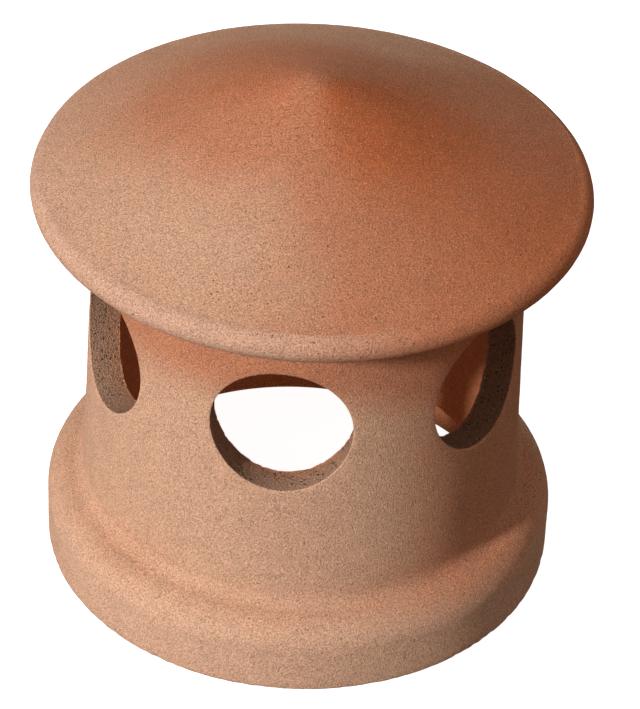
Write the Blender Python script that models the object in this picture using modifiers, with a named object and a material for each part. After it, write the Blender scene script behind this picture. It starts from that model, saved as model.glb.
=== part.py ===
"""Fired-clay chimney cowl: a hollow drum on a thick rounded foot, pierced by a ring of
round holes and closed by a wide, shallow conical cap. It drops over a round flue pot.

Metres, +Z up. The origin is the centre of the underside and +Z is the axis of turning.
"""
import math

import bpy
from mathutils import Vector

# Foot, whose shoulder is nearly level where it meets the drum
FOOT_DIAMETER = 0.294
FOOT_EDGE_ROUND = 0.0025
SHOULDER_HEIGHT = 0.048
SHOULDER_SLOPE = math.radians(14)
SHOULDER_ROUND = 0.018
COVE_ROUND = 0.009

# Seat cut into the underside for the rim of the flue pot
SEAT_DEPTH = 0.0325
SEAT_LEDGE = 0.0165
SEAT_EDGE_ROUND = 0.002

# Drum, which tapers from the shoulder to the eaves
DRUM_BASE_DIAMETER = 0.253
DRUM_TOP_DIAMETER = 0.240
WALL = 0.0185

# Round holes, spaced evenly round the drum, the first one on -Y
HOLE_COUNT = 6
HOLE_DIAMETER = 0.077
HOLE_TO_EAVES = 0.0322

# Cap
EAVES_HEIGHT = 0.2345
CAP_DIAMETER = 0.310
CAP_RISE = 0.059
CAP_THICKNESS = 0.018
TIP_SIZE = 0.010
RIM_THICKNESS = 0.018
RIM_CREASE_ANGLE = math.radians(79)
SOFFIT_RISE = 0.006
SOFFIT_ROUND = 0.006
CEILING_ROUND = 0.012

# Facets
TURN_SEGMENTS = 72
HOLE_SEGMENTS = 40
CAP_RINGS = 7
RIM_RINGS = 5
CEILING_RINGS = 5
FACET_ANGLE = math.radians(18)
CUT_MARGIN = 0.010
MERGE_DISTANCE = 0.00001
ROUNDING_ROOM = 1.02
SMOOTH_ANGLE = math.radians(35)


def drum_radius(height):
    """Outer radius of the drum's taper, also carried on above and below it."""
    share = (height - SHOULDER_HEIGHT) / (EAVES_HEIGHT - SHOULDER_HEIGHT)
    diameter = DRUM_BASE_DIAMETER + (DRUM_TOP_DIAMETER - DRUM_BASE_DIAMETER) * share
    return diameter / 2


def bore_radius(height):
    return drum_radius(height) - WALL


def arc(centre, radius, start, end, steps):
    """Points on an arc, both ends included, as (radius, height) pairs."""
    angles = [start + (end - start) * i / steps for i in range(steps + 1)]
    return [centre + Vector((math.cos(a), math.sin(a))) * radius for a in angles]


def setback(before, corner, after, radius):
    """Length that rounding a corner takes from the straight run on either side."""
    turn = math.pi - (before - corner).angle(after - corner)
    return radius * math.tan(turn / 2)


def fillet(before, corner, after, length):
    """Points that round a corner over a given length of the runs on both sides."""
    to_before = (before - corner).normalized()
    to_after = (after - corner).normalized()
    turn = math.pi - to_before.angle(to_after)
    radius = length / math.tan(turn / 2)
    centre = corner + (to_before + to_after).normalized() * radius / math.cos(turn / 2)
    first = corner + to_before * length - centre
    last = corner + to_after * length - centre
    start = math.atan2(first.y, first.x)
    sweep = -first.angle_signed(last)
    steps = max(2, round(turn / FACET_ANGLE))
    return arc(centre, radius, start, start + sweep, steps)


def rounded(corners):
    """A run through (radius, height, rounding) corners. Where two roundings would
    meet on a run, both are made smaller in the same measure."""
    places = [Vector(c[:2]) for c in corners]
    inner = range(1, len(corners) - 1)
    lengths = [0.0] * len(corners)
    for i in inner:
        lengths[i] = setback(places[i - 1], places[i], places[i + 1], corners[i][2])
    runs = [(places[i + 1] - places[i]).length for i in range(len(corners) - 1)]
    room = [run / max(run, (lengths[i] + lengths[i + 1]) * ROUNDING_ROOM) for i, run in enumerate(runs)]
    points = [places[0]]
    for i in inner:
        if lengths[i]:
            length = lengths[i] * min(room[i - 1], room[i])
            points += fillet(places[i - 1], places[i], places[i + 1], length)
        else:
            points.append(places[i])
    return points + [places[-1]]


def cap_curve(rise, foot_radius, drop):
    """Heights of a cone with a rounded tip above its own foot, lowered by drop."""
    flank = rise / (math.hypot(foot_radius, TIP_SIZE) - TIP_SIZE)

    def height(radius):
        return rise - flank * (math.hypot(radius, TIP_SIZE) - TIP_SIZE) - drop

    return height, flank


def cowl_profile():
    """Half section from the tip down the outside, round the foot and up the inside."""
    rim_centre = Vector(((CAP_DIAMETER - RIM_THICKNESS) / 2, EAVES_HEIGHT + RIM_THICKNESS / 2))
    upper_rim = arc(rim_centre, RIM_THICKNESS / 2, RIM_CREASE_ANGLE, 0, RIM_RINGS)
    lower_rim = arc(rim_centre, RIM_THICKNESS / 2, 0, -math.pi / 2, RIM_RINGS)
    rim = upper_rim + lower_rim[1:]
    crease = rim[0]
    top_height, flank = cap_curve(CAP_RISE, crease.x, 0)
    cap = [Vector((crease.x * i / CAP_RINGS, crease.y + top_height(crease.x * i / CAP_RINGS)))
           for i in range(CAP_RINGS)]

    soffit = EAVES_HEIGHT + SOFFIT_RISE
    foot = FOOT_DIAMETER / 2
    ledge = bore_radius(SEAT_DEPTH)
    seat = ledge + SEAT_LEDGE
    shoulder_edge = SHOULDER_HEIGHT - (foot - drum_radius(SHOULDER_HEIGHT)) * math.tan(SHOULDER_SLOPE)
    drop = CAP_THICKNESS * math.hypot(1, flank)
    spring = soffit
    for _ in range(6):
        spring = crease.y + top_height(bore_radius(spring)) - drop
    ceiling_radius = bore_radius(spring)
    ceiling = [(ceiling_radius * i / CEILING_RINGS,
                crease.y + top_height(ceiling_radius * i / CEILING_RINGS) - drop, 0)
               for i in range(CEILING_RINGS)]
    body = [
        (rim[-1].x, rim[-1].y, 0),
        (drum_radius(soffit), soffit, SOFFIT_ROUND),
        (drum_radius(SHOULDER_HEIGHT), SHOULDER_HEIGHT, COVE_ROUND),
        (foot, shoulder_edge, SHOULDER_ROUND),
        (foot, 0, FOOT_EDGE_ROUND),
        (seat, 0, SEAT_EDGE_ROUND),
        (seat, SEAT_DEPTH, 0),
        (ledge, SEAT_DEPTH, 0),
        (ceiling_radius, spring, CEILING_ROUND),
    ] + ceiling[::-1]
    return cap + rim[:-1] + rounded(body)


def clay_material():
    material = bpy.data.materials.new("fired_clay")
    material.use_nodes = True
    shader = material.node_tree.nodes["Principled BSDF"]
    shader.inputs["Base Color"].default_value = (0.52, 0.27, 0.17, 1)
    shader.inputs["Roughness"].default_value = 0.9
    shader.inputs["Metallic"].default_value = 0
    return material


def turned_body(name, collection):
    """The half section turned once round the axis."""
    points = [(p.x, 0, p.y) for p in cowl_profile()]
    mesh = bpy.data.meshes.new(name)
    mesh.from_pydata(points, [(i, i + 1) for i in range(len(points) - 1)], [])
    body = bpy.data.objects.new(name, mesh)
    collection.objects.link(body)
    turn = body.modifiers.new("turn", "SCREW")
    turn.axis = "Z"
    turn.angle = 2 * math.pi
    turn.steps = TURN_SEGMENTS
    turn.render_steps = TURN_SEGMENTS
    turn.use_merge_vertices = True
    turn.merge_threshold = MERGE_DISTANCE
    return body


def hole_cutter(index, collection):
    """A cylinder lying along a radius, long enough to pass through the drum's wall."""
    hole_radius = HOLE_DIAMETER / 2
    height = EAVES_HEIGHT - HOLE_TO_EAVES - hole_radius
    inner = math.sqrt(bore_radius(height + hole_radius) ** 2 - hole_radius ** 2) - CUT_MARGIN
    outer = drum_radius(height - hole_radius) + CUT_MARGIN
    turn = 2 * math.pi * index / HOLE_COUNT - math.pi / 2
    middle = (inner + outer) / 2
    bpy.ops.mesh.primitive_cylinder_add(
        vertices=HOLE_SEGMENTS, radius=hole_radius, depth=outer - inner,
        location=(middle * math.cos(turn), middle * math.sin(turn), height),
        rotation=(0, math.pi / 2, turn))
    cutter = bpy.context.object
    cutter.name = f"hole_cutter_{index + 1}"
    cutter.hide_render = True
    cutter.display_type = "WIRE"
    for owner in list(cutter.users_collection):
        owner.objects.unlink(cutter)
    collection.objects.link(cutter)
    return cutter


def make_cowl(parts, cutters):
    cowl = turned_body("cowl", parts)
    for index in range(HOLE_COUNT):
        cut = cowl.modifiers.new(f"hole_{index + 1}", "BOOLEAN")
        cut.operation = "DIFFERENCE"
        cut.solver = "EXACT"
        cut.object = hole_cutter(index, cutters)
    bpy.context.view_layer.objects.active = cowl
    for modifier in list(cowl.modifiers):
        bpy.ops.object.modifier_apply(modifier=modifier.name)
    cowl.data.shade_smooth()
    cowl.data.set_sharp_from_angle(angle=SMOOTH_ANGLE)
    cowl.data.materials.clear()
    cowl.data.materials.append(clay_material())
    return cowl


def main():
    for item in list(bpy.data.objects):
        bpy.data.objects.remove(item, do_unlink=True)
    parts = bpy.data.collections.new("chimney_cowl")
    cutters = bpy.data.collections.new("cutters")
    bpy.context.scene.collection.children.link(parts)
    bpy.context.scene.collection.children.link(cutters)
    make_cowl(parts, cutters)


main()
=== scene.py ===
import math

import bmesh
import bpy
from mathutils import Matrix, Vector


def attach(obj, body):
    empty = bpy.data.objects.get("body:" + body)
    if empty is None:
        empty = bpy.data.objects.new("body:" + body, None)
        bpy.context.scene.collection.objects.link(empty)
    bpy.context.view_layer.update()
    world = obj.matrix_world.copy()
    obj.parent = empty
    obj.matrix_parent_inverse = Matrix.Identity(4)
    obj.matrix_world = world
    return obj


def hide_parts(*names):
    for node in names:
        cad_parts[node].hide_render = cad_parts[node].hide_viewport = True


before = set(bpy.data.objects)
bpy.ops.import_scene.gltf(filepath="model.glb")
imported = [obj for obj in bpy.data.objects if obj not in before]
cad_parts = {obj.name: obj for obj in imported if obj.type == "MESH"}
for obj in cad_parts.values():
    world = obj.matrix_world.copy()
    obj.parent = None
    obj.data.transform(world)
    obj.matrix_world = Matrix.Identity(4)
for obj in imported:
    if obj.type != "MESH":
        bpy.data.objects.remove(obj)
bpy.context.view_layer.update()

# Foot and, in its underside, the seat for the rim of the flue pot
FOOT_DIAMETER = 0.294
FOOT_EDGE_ROUND = 0.0025
SHOULDER_HEIGHT = 0.048
SHOULDER_SLOPE = math.radians(14)
SHOULDER_ROUND = 0.018
COVE_ROUND = 0.009
SEAT_DEPTH = 0.0325
SEAT_LEDGE = 0.0165
SEAT_EDGE_ROUND = 0.002

# Drum and its round holes, the first one on -Y
DRUM_BASE_DIAMETER = 0.253
DRUM_TOP_DIAMETER = 0.240
WALL = 0.0185
HOLE_COUNT = 6
HOLE_DIAMETER = 0.077
HOLE_TO_EAVES = 0.0322
HOLE_OUTER_SOFTENING = 0.0014
HOLE_INNER_SOFTENING = 0.0007

# Cap, its rolled rim and the crease above the rim
EAVES_HEIGHT = 0.2345
CAP_DIAMETER = 0.310
CAP_RISE = 0.059
CAP_THICKNESS = 0.018
TIP_SIZE = 0.010
RIM_THICKNESS = 0.018
RIM_CREASE_ANGLE = math.radians(79)
CREASE_FILL = 0.00015
CREASE_WIDTH = 0.0032
SOFFIT_RISE = 0.006
SOFFIT_ROUND = 0.006
CEILING_ROUND = 0.012

# Marks of turning inside the drum
RIPPLE_DEPTH = 0.00014
RIPPLE_LENGTH = 0.011

# Fineness of the surface
SEGMENTS = 264
ROW = 0.0028
COARSE_ROW = 0.0045
ARC_ROW = 0.0021
PANEL_COLUMNS = 38
PANEL_ROWS = 34
PANEL_RINGS = 2
BORE_RINGS = 7
ROUNDING_ROOM = 1.02
LEAST_ARC_STEPS = 3
CREASE_ROWS = 4
HOLE_EDGE_STEPS = 3
SPRINGING_PASSES = 6
MERGE_DISTANCE = 0.00001
ON_SURFACE = 0.00002


def drum_radius(height):
    """Outer radius of the drum's taper, also carried on above and below it."""
    share = (height - SHOULDER_HEIGHT) / (EAVES_HEIGHT - SHOULDER_HEIGHT)
    return (DRUM_BASE_DIAMETER + (DRUM_TOP_DIAMETER - DRUM_BASE_DIAMETER) * share) / 2


def bore_radius(height):
    """Inner radius of the drum, with the shallow ripples that turning left."""
    ripple = RIPPLE_DEPTH * math.sin(2 * math.pi * height / RIPPLE_LENGTH)
    return drum_radius(height) - WALL + ripple


def hole_height():
    return EAVES_HEIGHT - HOLE_TO_EAVES - HOLE_DIAMETER / 2


def arc(centre, radius, start, end):
    steps = max(LEAST_ARC_STEPS, round(abs(end - start) * radius / ARC_ROW))
    angles = [start + (end - start) * i / steps for i in range(steps + 1)]
    return [centre + Vector((math.cos(a), math.sin(a))) * radius for a in angles]


def setback(before, corner, after, radius):
    """Length that rounding a corner takes from the straight run on either side."""
    turn = math.pi - (before - corner).angle(after - corner)
    return radius * math.tan(turn / 2)


def fillet(before, corner, after, length):
    """Points that round a corner over a given length of the runs on both sides."""
    to_before = (before - corner).normalized()
    to_after = (after - corner).normalized()
    turn = math.pi - to_before.angle(to_after)
    radius = length / math.tan(turn / 2)
    centre = corner + (to_before + to_after).normalized() * radius / math.cos(turn / 2)
    first = corner + to_before * length - centre
    last = corner + to_after * length - centre
    start = math.atan2(first.y, first.x)
    return arc(centre, radius, start, start - first.angle_signed(last))


def rounded(corners):
    """A run through (radius, height, rounding) corners. Where two roundings would
    meet on a run, both are made smaller in the same measure."""
    places = [Vector(c[:2]) for c in corners]
    inner = range(1, len(corners) - 1)
    lengths = [0.0] * len(corners)
    for i in inner:
        lengths[i] = setback(places[i - 1], places[i], places[i + 1], corners[i][2])
    runs = [(places[i + 1] - places[i]).length for i in range(len(corners) - 1)]
    room = [run / max(run, (lengths[i] + lengths[i + 1]) * ROUNDING_ROOM) for i, run in enumerate(runs)]
    points = [places[0]]
    for i in inner:
        if lengths[i]:
            length = lengths[i] * min(room[i - 1], room[i])
            points += fillet(places[i - 1], places[i], places[i + 1], length)
        else:
            points.append(places[i])
    return points + [places[-1]]


def spaced(points, row):
    """The same run with its longer stretches divided evenly."""
    result = [points[0]]
    for before, after in zip(points, points[1:]):
        count = max(1, round((after - before).length / row))
        result += [before.lerp(after, i / count) for i in range(1, count + 1)]
    return result


def cap_section():
    """The cap's top from its tip to the crease, the rolled rim, and what the inside
    needs: the ceiling's height at a radius."""
    rim_centre = Vector(((CAP_DIAMETER - RIM_THICKNESS) / 2, EAVES_HEIGHT + RIM_THICKNESS / 2))
    rim_round = RIM_THICKNESS / 2
    crease_step = CREASE_WIDTH / 2 / rim_round
    upper_rim = (arc(rim_centre, rim_round, RIM_CREASE_ANGLE, RIM_CREASE_ANGLE - crease_step)
                 + arc(rim_centre, rim_round, RIM_CREASE_ANGLE - crease_step, 0)[1:])
    lower_rim = arc(rim_centre, rim_round, 0, -math.pi / 2)
    crease = upper_rim[0]
    flank = CAP_RISE / (math.hypot(crease.x, TIP_SIZE) - TIP_SIZE)

    def top(radius):
        return crease.y + CAP_RISE - flank * (math.hypot(radius, TIP_SIZE) - TIP_SIZE)

    def ceiling(radius):
        return top(radius) - CAP_THICKNESS * math.hypot(1, flank)

    def eased_crease(point):
        """Smear of clay that fills the crease where the rim meets the slope."""
        away = min(1.0, abs(point.x - crease.x) / CREASE_WIDTH)
        return Vector((point.x, point.y + CREASE_FILL * (1 - away) ** 2))

    slope_end = crease.x - CREASE_WIDTH
    count = round(slope_end / ROW)
    slope = [slope_end * i / count for i in range(count + 1)]
    slope += [slope_end + CREASE_WIDTH * i / CREASE_ROWS for i in range(1, CREASE_ROWS)]
    outside = [Vector((r, top(r))) for r in slope] + upper_rim
    return [eased_crease(p) for p in outside] + lower_rim[1:], ceiling


def inner_rows(low, high):
    """Rows up the inside of the drum between two heights, without the last."""
    count = round(math.hypot(high - low, bore_radius(high) - bore_radius(low)) / ROW)
    heights = [low + (high - low) * i / count for i in range(count)]
    return [Vector((bore_radius(h), h)) for h in heights]


def body_section():
    """Half section from the tip down the outside, round the foot and up the inside."""
    cap, ceiling = cap_section()
    soffit = EAVES_HEIGHT + SOFFIT_RISE
    foot = FOOT_DIAMETER / 2
    ledge = bore_radius(SEAT_DEPTH)
    seat = ledge + SEAT_LEDGE
    shoulder_edge = SHOULDER_HEIGHT - (foot - drum_radius(SHOULDER_HEIGHT)) * math.tan(SHOULDER_SLOPE)
    panel_low, panel_high = panel_heights()
    spring = soffit
    for _ in range(SPRINGING_PASSES):
        spring = ceiling(bore_radius(spring))
    springing = bore_radius(spring)
    count = round(springing / COARSE_ROW)
    vault = [(springing * i / count, ceiling(springing * i / count), 0) for i in range(count)]

    eaves = rounded([
        (cap[-1].x, cap[-1].y, 0),
        (drum_radius(soffit), soffit, SOFFIT_ROUND),
        (drum_radius(panel_high), panel_high, 0)])
    panel = [Vector((drum_radius(h), h)) for h in (panel_high, panel_low)]
    base = rounded([
        (drum_radius(panel_low), panel_low, 0),
        (drum_radius(SHOULDER_HEIGHT), SHOULDER_HEIGHT, COVE_ROUND),
        (foot, shoulder_edge, SHOULDER_ROUND),
        (foot, 0, FOOT_EDGE_ROUND),
        (seat, 0, SEAT_EDGE_ROUND),
        (seat, SEAT_DEPTH, 0),
        (ledge, SEAT_DEPTH, 0)])
    dome = rounded([
        (bore_radius(panel_high), panel_high, 0),
        (springing, spring, CEILING_ROUND)] + vault[::-1])
    outside = [point for run in (eaves, panel, base) for point in spaced(run, ROW)[:-1]]
    inside = inner_rows(SEAT_DEPTH, panel_low) + inner_rows(panel_low, panel_high)
    return cap[:-1] + outside + inside + spaced(dome, ROW)


def panel_heights():
    """Lowest and highest row of the panel that is opened for a hole."""
    half = PANEL_ROWS * ROW / 2
    return hole_height() - half, hole_height() + half


def select_only(obj, kind, wanted):
    """Selects the faces or edges that a test picks, in edit mode, and nothing else."""
    bpy.context.tool_settings.mesh_select_mode = (False, kind == "edges", kind == "faces")
    bpy.ops.mesh.select_all(action="DESELECT")
    body = bmesh.from_edit_mesh(obj.data)
    for element in getattr(body, kind):
        if wanted(element):
            element.select_set(True)
    bmesh.update_edit_mesh(obj.data)


def lay_on_wall(obj, radius_at):
    """Slides the selected points along the hole's axis onto a turned wall."""
    body = bmesh.from_edit_mesh(obj.data)
    for vert in body.verts:
        if vert.select:
            vert.co.y = -math.sqrt(radius_at(vert.co.z) ** 2 - vert.co.x ** 2)
    bmesh.update_edit_mesh(obj.data)


def draw_section(points, turn):
    """The half section, drawn by extruding one point after another."""
    places = [Vector((p.x * math.cos(turn), p.x * math.sin(turn), p.y)) for p in points]
    bpy.ops.mesh.primitive_plane_add(size=ROW, location=places[0])
    section = bpy.context.object
    bpy.ops.object.transform_apply(location=True, rotation=True, scale=True)
    bpy.ops.object.mode_set(mode="EDIT")
    bpy.context.tool_settings.mesh_select_mode = (True, False, False)
    bpy.ops.mesh.select_all(action="SELECT")
    bpy.ops.mesh.merge(type="CENTER")
    for before, after in zip(places, places[1:]):
        bpy.ops.mesh.extrude_vertices_move(TRANSFORM_OT_translate={"value": after - before})
    return section


def across(point):
    """Distance from the axis of the first hole, which lies along Y."""
    return math.hypot(point.x, point.z - hole_height())


def on_wall(point, radius_at):
    return abs(math.hypot(point.x, point.y) - radius_at(point.z)) < ON_SURFACE


def on_rim(edge, radius_at):
    """True for an edge of the hole's outline on one face of the wall."""
    return all(
        abs(across(v.co) - HOLE_DIAMETER / 2) < ON_SURFACE and on_wall(v.co, radius_at)
        for v in edge.verts)


def in_panel(point):
    low, high = panel_heights()
    half = math.pi * PANEL_COLUMNS / SEGMENTS
    return (low - ON_SURFACE < point.z < high + ON_SURFACE
            and abs(math.atan2(point.x, -point.y)) < half + ON_SURFACE)


def pierce(sector):
    """Opens the middle of the sector's two walls and forms the round hole there."""
    select_only(sector, "faces", lambda f: all(in_panel(v.co) for v in f.verts))
    bpy.ops.mesh.delete(type="FACE")
    for radius_at in (drum_radius, bore_radius):
        bpy.ops.mesh.primitive_circle_add(
            vertices=2 * (PANEL_COLUMNS + PANEL_ROWS), radius=HOLE_DIAMETER / 2, fill_type="NOTHING",
            location=(0, -radius_at(hole_height()), hole_height()), rotation=(math.pi / 2, 0, 0))
        lay_on_wall(sector, radius_at)
        select_only(sector, "edges", lambda e: (e.is_boundary or not e.link_faces) and all(
            in_panel(v.co) and on_wall(v.co, radius_at) for v in e.verts))
        bpy.ops.mesh.bridge_edge_loops(number_cuts=PANEL_RINGS, interpolation="LINEAR")
        lay_on_wall(sector, radius_at)

    select_only(sector, "edges", lambda e: on_rim(e, drum_radius) or on_rim(e, bore_radius))
    bpy.ops.mesh.bridge_edge_loops(number_cuts=BORE_RINGS, interpolation="LINEAR")
    for radius_at, softening in ((drum_radius, HOLE_OUTER_SOFTENING), (bore_radius, HOLE_INNER_SOFTENING)):
        select_only(sector, "edges", lambda e: on_rim(e, radius_at))
        bpy.ops.mesh.bevel(
            offset_type="OFFSET", offset=softening, segments=HOLE_EDGE_STEPS, profile=0.5, affect="EDGES")


def turned_body(name):
    """One sector with its hole, repeated round the axis and joined into one skin."""
    sector_angle = 2 * math.pi / HOLE_COUNT
    sector = draw_section(body_section(), -math.pi / 2 - sector_angle / 2)
    sector.name = sector.data.name = name
    bpy.ops.mesh.select_all(action="SELECT")
    bpy.ops.mesh.spin(steps=SEGMENTS // HOLE_COUNT, angle=sector_angle,
                      center=(0, 0, 0), axis=(0, 0, -1))
    pierce(sector)
    bpy.context.tool_settings.mesh_select_mode = (True, False, False)
    bpy.ops.mesh.select_all(action="SELECT")
    bpy.ops.mesh.spin(steps=HOLE_COUNT - 1, angle=2 * math.pi - sector_angle, dupli=True,
                      center=(0, 0, 0), axis=(0, 0, 1))
    bpy.ops.mesh.select_all(action="SELECT")
    bpy.ops.mesh.remove_doubles(threshold=MERGE_DISTANCE)
    bpy.ops.mesh.select_all(action="SELECT")
    bpy.ops.mesh.normals_make_consistent(inside=False)
    bpy.ops.object.mode_set(mode="OBJECT")
    return sector


# Unevenness: how far each kind sinks the surface, and the size of its lumps
HAND_WAVES = (0.0005, 0.045)
SANDY_LUMPS = (0.00022, 0.006)
BORE_CRUMBS = (0.0003, 0.0030)
INNER_EDGE_CHIPS = (0.0005, 0.0030)
INNER_EDGE_REACH = 0.0036
FOOT_EDGE_CHIPS = (0.0006, 0.0032)
CHIP_SHARE = (0.30, 0.50)
SMOOTH_ANGLE = math.radians(50)


def weigh(body, name, weight):
    """A vertex group filled by a function of each point's place."""
    group = body.vertex_groups.new(name=name)
    for vert in body.data.vertices:
        share = weight(vert.co)
        if share > 0:
            group.add([vert.index], min(1.0, share), "REPLACE")


def from_hole(point):
    """Distance from the nearest hole's axis."""
    turn = math.atan2(point.y, point.x) + math.pi / 2
    step = 2 * math.pi / HOLE_COUNT
    turn -= round(turn / step) * step
    radius = math.hypot(point.x, point.y)
    return math.hypot(radius * math.sin(turn), point.z - hole_height())


def in_bore(point):
    """One on the cut face of a hole, none on the walls."""
    low, high = panel_heights()
    if not low < point.z < high or from_hole(point) > HOLE_DIAMETER / 2 + ON_SURFACE:
        return 0.0
    radius = math.hypot(point.x, point.y)
    depth = min(radius - bore_radius(point.z), drum_radius(point.z) - radius)
    return depth / HOLE_OUTER_SOFTENING


def at_inner_edge(point):
    """One on a hole's inner edge, none a little way off."""
    low, high = panel_heights()
    if not low < point.z < high:
        return 0.0
    off_wall = math.hypot(point.x, point.y) - bore_radius(point.z)
    away = math.hypot(off_wall, from_hole(point) - HOLE_DIAMETER / 2)
    return 1 - away / INNER_EDGE_REACH


def at_foot_edge(point):
    """One on the foot's lower edge, none a little way off."""
    off_side = FOOT_DIAMETER / 2 - math.hypot(point.x, point.y)
    return 1 - math.hypot(off_side, point.z) / (2 * FOOT_EDGE_ROUND)


def sink(body, name, marks, group, sparse=False):
    """Presses lumps into the surface, and never raises it above the plain form."""
    depth, size = marks
    lumps = bpy.data.textures.new(name, "CLOUDS")
    lumps.noise_scale = size
    lumps.noise_depth = 1
    if sparse:
        lumps.use_color_ramp = True
        for stop, place in zip(lumps.color_ramp.elements, CHIP_SHARE):
            stop.position = place
            stop.color[3] = 1
    press = body.modifiers.new(name, "DISPLACE")
    press.texture = lumps
    press.texture_coords = "LOCAL"
    press.strength = depth
    press.mid_level = 1
    press.vertex_group = group
    bpy.context.view_layer.objects.active = body
    bpy.ops.object.modifier_apply(modifier=press.name)


def make_cowl():
    body = turned_body("clay_cowl")
    weigh(body, "bores", in_bore)
    weigh(body, "inner_edges", at_inner_edge)
    weigh(body, "foot_edge", at_foot_edge)
    weigh(body, "above_ground", lambda p: p.z / FOOT_EDGE_ROUND)
    cut = body.data.attributes.new("cut_clay", "FLOAT", "POINT")
    cut.data.foreach_set("value", [max(0.0, min(1.0, in_bore(v.co))) for v in body.data.vertices])
    sink(body, "hand_waves", HAND_WAVES, "above_ground")
    sink(body, "sandy_lumps", SANDY_LUMPS, "above_ground")
    sink(body, "bore_crumbs", BORE_CRUMBS, "bores")
    sink(body, "inner_edge_chips", INNER_EDGE_CHIPS, "inner_edges", sparse=True)
    sink(body, "foot_edge_chips", FOOT_EDGE_CHIPS, "foot_edge", sparse=True)
    body.vertex_groups.clear()
    bpy.ops.object.shade_smooth_by_angle(angle=SMOOTH_ANGLE)
    return body


class Wire:
    """A shader socket that takes Python's arithmetic, one Math node for each step."""

    def __init__(self, paint, socket):
        self.paint = paint
        self.socket = socket

    def also(self, output):
        """Another output of the same node."""
        return Wire(self.paint, self.socket.node.outputs[output])

    def step(self, operation, *terms):
        return self.paint.node("ShaderNodeMath", {"operation": operation}, dict(enumerate(terms)))

    def __add__(self, other):
        return self.step("ADD", self, other)

    def __radd__(self, other):
        return self.step("ADD", other, self)

    def __sub__(self, other):
        return self.step("SUBTRACT", self, other)

    def __rsub__(self, other):
        return self.step("SUBTRACT", other, self)

    def __mul__(self, other):
        return self.step("MULTIPLY", self, other)

    def __rmul__(self, other):
        return self.step("MULTIPLY", other, self)

    def __truediv__(self, other):
        return self.step("DIVIDE", self, other)

    def __pow__(self, other):
        return self.step("POWER", self, other)

    def __abs__(self):
        return self.step("ABSOLUTE", self)

    def sine(self):
        return self.step("SINE", self)

    def either(self, other):
        """The larger of the two."""
        return self.step("MAXIMUM", self, other)

    def eased(self, low, high):
        """None at low, one at high and smooth between; low may be the larger."""
        return self.paint.node("ShaderNodeMapRange", {"interpolation_type": "SMOOTHSTEP"},
                               {"Value": self, "From Min": low, "From Max": high})


class Paint:
    """The nodes of a material or a world, each made by one call."""

    def __init__(self, owner):
        owner.use_nodes = True
        self.tree = owner.node_tree

    def feed(self, socket, value):
        if isinstance(value, Wire):
            self.tree.links.new(value.socket, socket)
        else:
            socket.default_value = value

    def node(self, kind, settings, sockets, output=0):
        node = self.tree.nodes.new(kind)
        for name, value in settings.items():
            setattr(node, name, value)
        for name, value in sockets.items():
            self.feed(node.inputs[name], value)
        return Wire(self, node.outputs[output])

    def finish(self, node_name, sockets):
        """Values and links for the sockets of a node that is already there."""
        for name, value in sockets.items():
            self.feed(self.tree.nodes[node_name].inputs[name], value)

    def noise(self, where, size, detail, roughness=0.5):
        """Soft noise about zero."""
        sockets = {"Vector": where, "Scale": 1 / size, "Detail": detail, "Roughness": roughness}
        return self.node("ShaderNodeTexNoise", {}, sockets) - 0.5

    def cells(self, where, size):
        """Distance from the nearest scattered point, in metres, and that point's own random value."""
        sockets = {"Vector": where, "Scale": 1 / size}
        away = self.node("ShaderNodeTexVoronoi", {}, sockets, output="Distance")
        lot = self.node("ShaderNodeSeparateColor", {}, {0: away.also("Color")})
        return away * size, lot

    def distance(self, where, centre):
        return self.node("ShaderNodeVectorMath", {"operation": "DISTANCE"},
                         {0: where, 1: centre}, output="Value")

    def mix(self, first, second, share, blend="MIX"):
        return self.node("ShaderNodeMix", {"data_type": "RGBA", "blend_type": blend},
                         {0: share, 6: first, 7: second}, output=2)


# Colours of the fired clay, linear: pale buff, orange and flushed, then those of single places and of
# painted light and shade
BUFF = (0.610, 0.352, 0.228, 1)
ORANGE = (0.520, 0.204, 0.106, 1)
FLUSH = (0.500, 0.135, 0.046, 1)
# Painted light on the foot, for the light thrown up onto it from the ground
FOOT_PAINTED_LIGHT = (0.650, 0.378, 0.252, 1)
PALE_RIM = (0.600, 0.352, 0.245, 1)
INNER_WALL = (0.720, 0.255, 0.108, 1)
CORE = (0.380, 0.215, 0.135, 1)
# Painted shade on the cut faces on the side away from the lamp
CUT_FACE_SHADE = (0.160, 0.062, 0.028, 1)
SAND = (0.740, 0.500, 0.360, 1)
# Painted shade in pits and hollows
PIT_SHADE = (0.110, 0.045, 0.026, 1)

# How fully those of single places cover the clay
FOOT_PAINTED_LIGHT_COVER = 0.8
PALE_RIM_COVER = 0.7
INNER_WALL_COVER = 0.9
CORE_COVER = 0.80
CUT_FACE_SHADE_COVER = 0.60
SAND_COVER = 0.50
PIT_SHADE_COVER = 0.70
HOLLOW_SHADE_COVER = 0.75

# Heights between which each place of the cowl starts and is full
BODY_TO_CAP = (EAVES_HEIGHT - 0.002, EAVES_HEIGHT + 0.006)
DRUM_TO_FOOT = (SHOULDER_HEIGHT, SHOULDER_HEIGHT - 0.020)
# Warmer, darker band under the eaves: partly orange clay, partly the cap's shadow painted in
EAVES_SHADOW_BAND = (EAVES_HEIGHT - 0.075, EAVES_HEIGHT - 0.025)
UNDER_LEDGE = (SEAT_DEPTH + 0.004, SEAT_DEPTH + 0.001)
FOOT_TO_DRUM = (0.03, 0.08)
SHOULDER_REACH = 0.022

# The same, as distances outwards from the drum's side, the seat's wall and the crease
THROUGH_WALL = (-WALL * 0.4, -WALL * 0.7)
IN_SEAT = (0.003, 0.001)
OVER_CREASE = (-0.001, 0.002)

# The same along X, for the cut faces on the side away from the lamp, darkened with painted shade
SHADED_CUT_SIDE = (0.0375, 0.09375)

# Warmth at which the painted light on the foot and the pale rim give way to the fired colours
FOOT_PAINTED_LIGHT_GIVES_WAY = (0.3, 0.9)
PALE_RIM_SHOWS = (1.4, 0.4)
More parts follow.
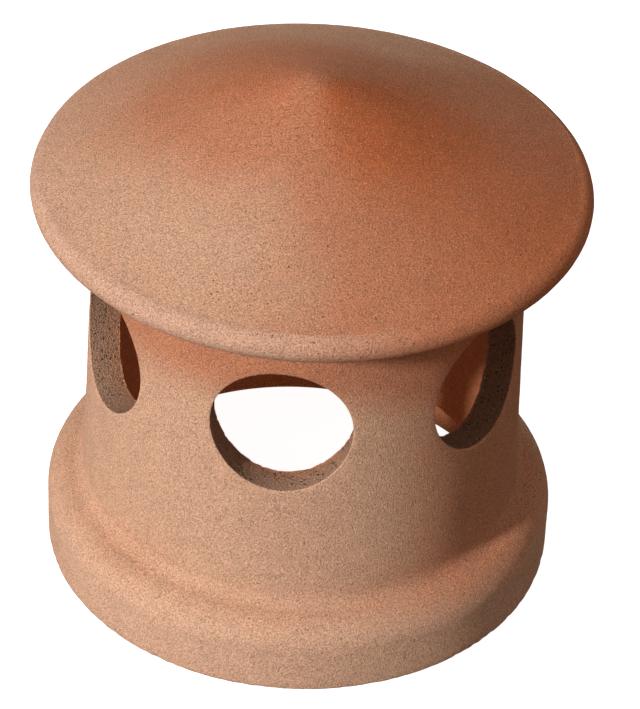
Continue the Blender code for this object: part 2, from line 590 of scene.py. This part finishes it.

# The warm side of the kiln, as a direction, how squarely a place has to face it, and a
# second flush on the cap. On the body that side is also the one away from the lamp, so the
# warmth there is partly fired colour, partly painted shade
WARM_SIDE = (math.sin(math.radians(75)), -math.cos(math.radians(75)))
CAP_FACES_IT = (0, 1.05)
BODY_FACES_IT = (0.45, 1.0)
TIP_BLEND = 0.012
TIP_REACH = 0.12
SECOND_FLUSH = (-0.059, 0.0275, 0.280)
SECOND_FLUSH_REACH = 0.110

# Warmth of each place: none is buff, one is orange and two is flushed
CAP_WARMTH = 0.26
TIP_WARMTH = 0.90
CAP_SIDE_WARMTH = 1.40
SECOND_FLUSH_WARMTH = 0.65
BODY_WARMTH = 0.02
FOOT_SIDE_WARMTH_AND_SHADE = 0.55
DRUM_SIDE_WARMTH_AND_SHADE = 0.35
# A warmer, darker band round the shoulder
SHOULDER_WARMTH = 0.22
CLOUD_WARMTH = 0.5
MOTTLE_WARMTH = 0.30

# Sizes of its clouds, grain, pits, hollows and sand
CLOUD_SIZE = 0.060
MOTTLE_SIZE = 0.012
GRAIN_SIZE = 0.0009
PIT_SPACING = 0.0027
PIT_SIZE = 0.00062
HOLLOW_SPACING = 0.0024
HOLLOW_SIZE = 0.0008
SAND_SPACING = 0.0026
SAND_SIZE = 0.00060

# How strongly pits show, with more on the cap and more where they cluster
PITTED = 0.12
CAP_PITTED = 0.15
CLUSTERED = 0.60
CAP_CLUSTERED = 0.25
CLOUDS_IN_CLUSTERS = 0.7
CLUSTER_EDGE = (-0.02, 0.14)

# Outlines of pits, hollows and sand: how far grain and mottle fray them, in metres, the
# share of the size within which they are full, and which of their random lots show
LEAST_PIT_LOT = 0.15
PIT_GRAIN = 0.0012
PIT_MOTTLE = 0.0005
PIT_CORE = 0.4
HOLLOW_GRAIN = 0.0010
HOLLOW_MOTTLE = 0.0014
HOLLOW_CORE = 0.3
HOLLOW_LOTS = (0.2, 0.8)
SAND_CORE = 0.4
SAND_LOTS = (0.5, 0.7)

# How much the unevenness lightens and darkens the colour, and the dull finish
MOTTLE_SHADE = 0.30
GRAIN_SHADE = 2.4
ROUGHNESS = 0.90
ROUGHNESS_MOTTLE = 0.08
SHEEN = 0.25

# Fine relief, in metres
GRAIN_HEIGHT = 0.00072
CUT_GRAIN_HEIGHT = 0.0006
MOTTLE_HEIGHT = 0.00030
SAND_HEIGHT = 0.00018
PIT_DEPTH = 0.00050
HOLLOW_DEPTH = 0.0014
TURNING_LINE_HEIGHT = 0.00006

# Fine lines of turning inside the drum: radians to a metre of height, and how far they wander
TURNING_LINE_RATE = 2600
TURNING_LINE_WANDER = 9


def wall_line(height):
    """The drum's outer radius as shader arithmetic."""
    slope = (DRUM_TOP_DIAMETER - DRUM_BASE_DIAMETER) / 2 / (EAVES_HEIGHT - SHOULDER_HEIGHT)
    return height * slope + (DRUM_BASE_DIAMETER / 2 - SHOULDER_HEIGHT * slope)


class Clay:
    """Wires that tell where a point of the cowl lies and how uneven the clay is there."""

    def __init__(self, paint):
        self.place = paint.node("ShaderNodeTexCoord", {}, {}, output="Object")
        self.x = paint.node("ShaderNodeSeparateXYZ", {}, {0: self.place}, output="X")
        self.y = self.x.also("Y")
        self.z = self.x.also("Z")
        self.radius = (self.x * self.x + self.y * self.y) ** 0.5
        self.cut = paint.node("ShaderNodeAttribute", {"attribute_name": "cut_clay"}, {}, output="Fac")
        self.clouds = paint.noise(self.place, CLOUD_SIZE, detail=3)
        self.mottle = paint.noise(self.place, MOTTLE_SIZE, detail=4, roughness=0.6)
        self.grain = paint.noise(self.place, GRAIN_SIZE, detail=2, roughness=0.7)
        self.on_cap = self.z.eased(*BODY_TO_CAP)
        self.inside = self.in_drum().either(self.in_seat())

    def in_drum(self):
        return (self.radius - wall_line(self.z)).eased(*THROUGH_WALL) * (1 - self.on_cap)

    def in_seat(self):
        seat = DRUM_BASE_DIAMETER / 2 - WALL + SEAT_LEDGE
        return (self.radius - seat).eased(*IN_SEAT) * self.z.eased(*UNDER_LEDGE)

    def over_crease(self):
        crease = (CAP_DIAMETER - RIM_THICKNESS) / 2 + RIM_THICKNESS / 2 * math.cos(RIM_CREASE_ANGLE)
        return (self.radius - crease).eased(*OVER_CREASE)


def kiln_warmth_and_painted_shade(paint, clay):
    """How warm each place of the body and the cap is coloured: fired colour, with painted shade on the
    body's side away from the lamp and in the cap's shadow under the eaves, and a warmer band round the
    shoulder.
    """
    towards_warm = clay.x * WARM_SIDE[0] + clay.y * WARM_SIDE[1]
    facing_warm = towards_warm / (clay.radius + TIP_BLEND)
    second = paint.distance(clay.place, SECOND_FLUSH).eased(SECOND_FLUSH_REACH, 0)
    cap = CAP_WARMTH + clay.radius.eased(TIP_REACH, 0) * TIP_WARMTH
    cap = cap + facing_warm.eased(*CAP_FACES_IT) * CAP_SIDE_WARMTH + second * SECOND_FLUSH_WARMTH
    # On the body, the side facing the warm direction is away from the lamp: its warmth is partly fired
    # colour, partly painted shade
    side = FOOT_SIDE_WARMTH_AND_SHADE + clay.z.eased(*FOOT_TO_DRUM) * DRUM_SIDE_WARMTH_AND_SHADE
    on_shoulder = 1 - abs(clay.z - SHOULDER_HEIGHT).eased(0, SHOULDER_REACH)
    body = BODY_WARMTH + facing_warm.eased(*BODY_FACES_IT) * side
    # Band under the eaves: partly orange clay, partly painted shadow of the cap
    body = body + clay.z.eased(*EAVES_SHADOW_BAND) + on_shoulder * SHOULDER_WARMTH
    unevenness = clay.clouds * CLOUD_WARMTH + clay.mottle * MOTTLE_WARMTH
    return cap * clay.on_cap + body * (1 - clay.on_cap) + unevenness


def fired_and_painted_colour(paint, clay):
    """The clay's colour with its painted light and shade, without its pits, hollows and sand."""
    warmth = kiln_warmth_and_painted_shade(paint, clay)
    colour = paint.mix(BUFF, ORANGE, warmth.eased(0.0, 1.0))
    colour = paint.mix(colour, FLUSH, warmth.eased(1.0, 2.0))
    # Painted light: the foot is made paler where light from the ground would brighten it
    foot_painted_light = clay.z.eased(*DRUM_TO_FOOT) * FOOT_PAINTED_LIGHT_COVER
    colour = paint.mix(colour, FOOT_PAINTED_LIGHT, foot_painted_light * (1 - warmth.eased(*FOOT_PAINTED_LIGHT_GIVES_WAY)))
    colour = paint.mix(colour, INNER_WALL, clay.inside * INNER_WALL_COVER)
    on_rim = clay.over_crease() * warmth.eased(*PALE_RIM_SHOWS)
    colour = paint.mix(colour, PALE_RIM, on_rim * PALE_RIM_COVER)
    colour = paint.mix(colour, CORE, clay.cut * CORE_COVER)
    # Painted shade: the cut faces on the side away from the lamp are darkened
    colour = paint.mix(colour, CUT_FACE_SHADE, clay.cut * clay.x.eased(*SHADED_CUT_SIDE) * CUT_FACE_SHADE_COVER)
    shade = 1 + clay.mottle * MOTTLE_SHADE + clay.grain * GRAIN_SHADE
    grey = paint.node("ShaderNodeCombineColor", {}, {0: shade, 1: shade, 2: shade})
    return paint.mix(colour, grey, 1.0, blend="MULTIPLY")


def scattered_pits(paint, clay):
    """Small ragged pits, more of them on the cap and in clusters."""
    away, lot = paint.cells(clay.place, PIT_SPACING)
    clustered = (clay.mottle + clay.clouds * CLOUDS_IN_CLUSTERS).eased(*CLUSTER_EDGE)
    share = PITTED + clay.on_cap * CAP_PITTED + clustered * (CLUSTERED + clay.on_cap * CAP_CLUSTERED)
    ragged = away / (lot + LEAST_PIT_LOT) + clay.grain * PIT_GRAIN + clay.mottle * PIT_MOTTLE
    return ragged.eased(PIT_SIZE, PIT_SIZE * PIT_CORE) * share


def cut_hollows(paint, clay):
    """Hollows in the cut faces of the holes, where grit was dragged out."""
    away, lot = paint.cells(clay.place, HOLLOW_SPACING)
    ragged = away + clay.mottle * HOLLOW_MOTTLE + clay.grain * HOLLOW_GRAIN
    return ragged.eased(HOLLOW_SIZE, HOLLOW_SIZE * HOLLOW_CORE) * lot.eased(*HOLLOW_LOTS) * clay.cut


def pale_sand(paint, clay):
    """Pale grains of sand, here and there."""
    away, lot = paint.cells(clay.place, SAND_SPACING)
    return away.eased(SAND_SIZE, SAND_SIZE * SAND_CORE) * lot.eased(*SAND_LOTS)


def turning_lines(clay):
    """Fine lines round the inside of the drum."""
    return (clay.z * TURNING_LINE_RATE + clay.clouds * TURNING_LINE_WANDER).sine() * clay.inside


def make_clay():
    material = bpy.data.materials.new("fired_clay_and_painted_shade")
    paint = Paint(material)
    clay = Clay(paint)
    pits = scattered_pits(paint, clay)
    hollows = cut_hollows(paint, clay)
    sand = pale_sand(paint, clay)

    colour = fired_and_painted_colour(paint, clay)
    colour = paint.mix(colour, SAND, sand * SAND_COVER)
    # Pits and hollows are sunk by the bump and darkened with painted shade
    colour = paint.mix(colour, PIT_SHADE, pits * PIT_SHADE_COVER)
    colour = paint.mix(colour, PIT_SHADE, hollows * HOLLOW_SHADE_COVER)

    height = clay.grain * GRAIN_HEIGHT + clay.grain * clay.cut * CUT_GRAIN_HEIGHT
    height = height + clay.mottle * MOTTLE_HEIGHT + sand * SAND_HEIGHT
    height = height - pits * PIT_DEPTH - hollows * HOLLOW_DEPTH
    height = height + turning_lines(clay) * TURNING_LINE_HEIGHT
    bump = paint.node("ShaderNodeBump", {}, {"Strength": 1.0, "Distance": 1.0, "Height": height})
    paint.finish("Principled BSDF", {
        "Base Color": colour,
        "Roughness": ROUGHNESS + clay.mottle * ROUGHNESS_MOTTLE,
        "Specular IOR Level": SHEEN,
        "Normal": bump})
    return material


# Camera: a long lens that looks down on the cowl, its lens and sensor in millimetres
VIEW_TURN = math.radians(5.24)
VIEW_DISTANCE = 1.5741
VIEW_HEIGHT = 1.3483
VIEW_YAW = math.radians(0.319)
VIEW_PITCH = math.radians(37.864)
VIEW_ROLL = math.radians(2.859)
FOCAL_LENGTH = 177.7
SENSOR = 36

# Light of a plain studio: one lamp, an even glow from above and below, and a floor that is
# seen as white and throws no light on the cowl
KEY_TURN = math.radians(-40)
KEY_ELEVATION = math.radians(28)
KEY_STRENGTH = 3.25
KEY_SOFTNESS = math.radians(7)
SKY_LIGHT = (0.35, 0.335, 0.315, 1)
GROUND_LIGHT = (0.13, 0.095, 0.070, 1)
HORIZON_BLEND = 0.15
FLOOR_SIZE = 12
FLOOR_COLOUR = (0.80, 0.80, 0.79, 1)
FLOOR_ROUGHNESS = 0.9
FLOOR_GLOW_COLOUR = (1, 1, 1, 1)
FLOOR_GLOW = 0.95


def make_camera():
    data = bpy.data.cameras.new("camera")
    data.sensor_width = SENSOR
    data.lens = FOCAL_LENGTH
    camera = bpy.data.objects.new("camera", data)
    bpy.context.scene.collection.objects.link(camera)
    turn = Matrix.Rotation(VIEW_TURN, 3, "Z")
    ahead = turn @ Vector((math.sin(VIEW_YAW) * math.cos(VIEW_PITCH),
                           math.cos(VIEW_YAW) * math.cos(VIEW_PITCH), -math.sin(VIEW_PITCH)))
    side = ahead.cross(Vector((0, 0, 1))).normalized()
    upright = side.cross(ahead)
    right = side * math.cos(VIEW_ROLL) + upright * math.sin(VIEW_ROLL)
    up = upright * math.cos(VIEW_ROLL) - side * math.sin(VIEW_ROLL)
    camera.matrix_world = Matrix((right, up, -ahead)).transposed().to_4x4()
    camera.location = turn @ Vector((0, -VIEW_DISTANCE, VIEW_HEIGHT))
    bpy.context.scene.camera = camera


def make_lamp():
    data = bpy.data.lights.new("key", "SUN")
    data.energy = KEY_STRENGTH
    data.angle = KEY_SOFTNESS
    key = bpy.data.objects.new("key", data)
    bpy.context.scene.collection.objects.link(key)
    towards = Vector((math.sin(KEY_TURN) * math.cos(KEY_ELEVATION),
                      -math.cos(KEY_TURN) * math.cos(KEY_ELEVATION), math.sin(KEY_ELEVATION)))
    key.rotation_euler = towards.to_track_quat("Z", "Y").to_euler()


def make_studio():
    """Light from all round, of the ground's colour below the horizon and the sky's above."""
    world = bpy.data.worlds.new("studio")
    paint = Paint(world)
    direction = paint.node("ShaderNodeTexCoord", {}, {}, output="Generated")
    height = paint.node("ShaderNodeSeparateXYZ", {}, {0: direction}, output="Z")
    light = paint.mix(GROUND_LIGHT, SKY_LIGHT, height.eased(-HORIZON_BLEND, HORIZON_BLEND))
    paint.finish("Background", {"Color": light})
    bpy.context.scene.world = world


def make_floor():
    bpy.ops.mesh.primitive_plane_add(size=FLOOR_SIZE)
    floor = bpy.context.object
    floor.name = "floor"
    material = bpy.data.materials.new("floor")
    Paint(material).finish("Principled BSDF", {
        "Base Color": FLOOR_COLOUR,
        "Roughness": FLOOR_ROUGHNESS,
        "Emission Color": FLOOR_GLOW_COLOUR,
        "Emission Strength": FLOOR_GLOW})
    floor.data.materials.append(material)
    floor.visible_diffuse = False
    floor.visible_glossy = False


bpy.ops.object.select_all(action="DESELECT")
make_floor()
cowl = make_cowl()
cowl.data.materials.append(make_clay())
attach(cowl, "root")
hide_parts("cowl")
make_camera()
make_lamp()
make_studio()
bpy.context.scene.view_settings.view_transform = "Standard"
